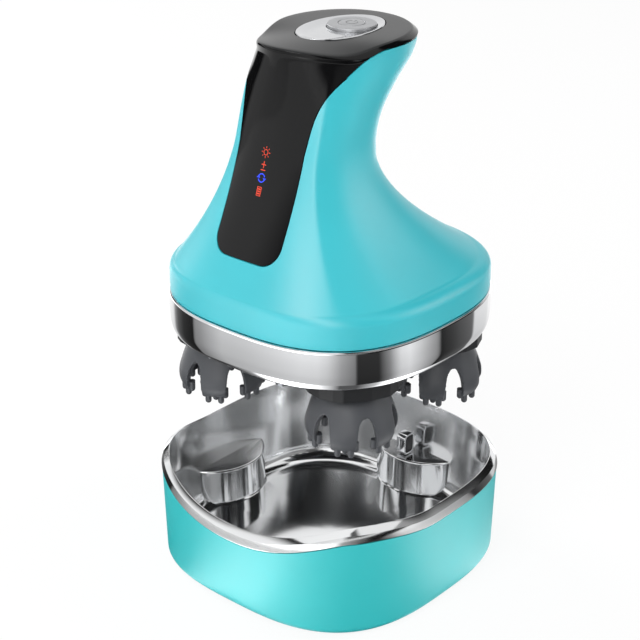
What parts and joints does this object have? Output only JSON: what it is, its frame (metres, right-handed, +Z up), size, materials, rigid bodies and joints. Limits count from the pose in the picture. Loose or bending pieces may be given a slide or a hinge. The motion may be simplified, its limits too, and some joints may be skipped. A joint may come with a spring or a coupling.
{
  "type": "scalp massager on a charging dock",
  "caption": "Hand-held scalp massager with four turning silicone claw heads, lifted over its square charging dock with a chrome basin.",
  "frame": {"origin": "centre of the dock footprint, on the underside of its rubber feet", "axes": "+Z up, front of the handle (black panel) toward -Y, +X to the right of someone facing the panel"},
  "size_m": [0.1156, 0.1156, 0.207],
  "materials": {
    "teal_gloss": "smooth moulded plastic, high gloss",
    "teal_satin": "smooth moulded plastic, soft gloss",
    "black_gloss": "mirror-smooth black plastic",
    "chrome": "bright chrome plating",
    "silver_satin": "satin silver plating",
    "dark_plastic": "fine matte moulding",
    "dark_silicone": "soft matte silicone",
    "seal_rubber": "matte rubber",
    "white_plastic": "natural engineering plastic",
    "green_board": "solder mask",
    "cell_wrap": "shrink wrap",
    "clear_plastic": "clear light guide",
    "plated_steel": "zinc plated"
  },
  "bodies": {
    "dock": {"dock_shell": "teal_satin", "dock_basin": "chrome", "dock_base": "dark_plastic", "charging_plug_shell": "chrome", "charging_plug_core": "black_gloss", "dock_board": "green_board", "dock_inlet": "plated_steel", "dock_foot_1": "seal_rubber", "dock_foot_2": "seal_rubber", "dock_foot_3": "seal_rubber", "dock_foot_4": "seal_rubber", "dock_screw_1": "plated_steel", "dock_screw_2": "plated_steel", "dock_screw_3": "plated_steel", "dock_screw_4": "plated_steel"},
    "handset": {"handle_shell": "teal_gloss", "front_cover": "black_gloss", "button_bezel": "silver_satin", "tact_switch": "dark_plastic", "switch_board": "green_board", "inner_frame": "white_plastic", "battery": "cell_wrap", "main_board": "green_board", "light_guide": "clear_plastic", "chrome_ring": "chrome", "bottom_plate": "dark_plastic", "charging_socket": "plated_steel", "gearbox_base": "white_plastic", "gearbox_cover": "white_plastic", "motor": "plated_steel", "base_screw_1": "plated_steel", "base_screw_2": "plated_steel", "base_screw_3": "plated_steel", "base_screw_4": "plated_steel", "head_seal_1": "seal_rubber", "head_seal_2": "seal_rubber", "head_seal_3": "seal_rubber", "head_seal_4": "seal_rubber"},
    "button": {"power_button": "silver_satin"},
    "pinion": {"motor_pinion": "plated_steel"},
    "double_gear": {"idler_gear": "white_plastic"},
    "sun": {"sun_gear": "white_plastic"},
    "head_1": {"head_spindle_1": "white_plastic", "head_hub_1": "dark_plastic", "massage_head_1": "dark_silicone"},
    "head_2": {"head_spindle_2": "white_plastic", "head_hub_2": "dark_plastic", "massage_head_2": "dark_silicone"},
    "head_3": {"head_spindle_3": "white_plastic", "head_hub_3": "dark_plastic", "massage_head_3": "dark_silicone"},
    "head_4": {"head_spindle_4": "white_plastic", "head_hub_4": "dark_plastic", "massage_head_4": "dark_silicone"}
  },
  "joints": [
    {"name": "dock_lift", "type": "slide", "parent": "dock", "child": "handset", "axis": [0, 0, 1], "range_m": [-0.0615, 0]},
    {"name": "button_press", "type": "slide", "parent": "handset", "child": "button", "axis": [0, 0, 1], "range_m": [-0.0008, 0], "stiffness_N_per_m": 600, "springref_m": 0.0002},
    {"name": "sun_spin", "type": "hinge", "parent": "handset", "child": "sun", "pos_m": [0, 0, 0.1], "axis": [0, 0, 1], "continuous": true},
    {"name": "double_gear_spin", "type": "hinge", "parent": "handset", "child": "double_gear", "pos_m": [0, -0.016, 0.107], "axis": [0, 0, 1], "continuous": true},
    {"name": "motor_spin", "type": "hinge", "parent": "handset", "child": "pinion", "pos_m": [0, 0, 0.112], "axis": [0, 0, 1], "continuous": true},
    {"name": "head_spin_1", "type": "hinge", "parent": "handset", "child": "head_1", "pos_m": [0.03109, -0.02517, 0.09], "axis": [0, 0, 1], "continuous": true},
    {"name": "head_spin_2", "type": "hinge", "parent": "handset", "child": "head_2", "pos_m": [0.03109, 0.02517, 0.09], "axis": [0, 0, 1], "continuous": true},
    {"name": "head_spin_3", "type": "hinge", "parent": "handset", "child": "head_3", "pos_m": [-0.03109, 0.02517, 0.09], "axis": [0, 0, 1], "continuous": true},
    {"name": "head_spin_4", "type": "hinge", "parent": "handset", "child": "head_4", "pos_m": [-0.03109, -0.02517, 0.09], "axis": [0, 0, 1], "continuous": true}
  ],
  "couplings": [
    {"joint": "double_gear_spin", "follows": "sun_spin", "ratio": -2.3333},
    {"joint": "motor_spin", "follows": "sun_spin", "ratio": 7},
    {"joint": "head_spin_1", "follows": "sun_spin", "ratio": -2.2},
    {"joint": "head_spin_2", "follows": "sun_spin", "ratio": -2.2},
    {"joint": "head_spin_3", "follows": "sun_spin", "ratio": -2.2},
    {"joint": "head_spin_4", "follows": "sun_spin", "ratio": -2.2}
  ]
}
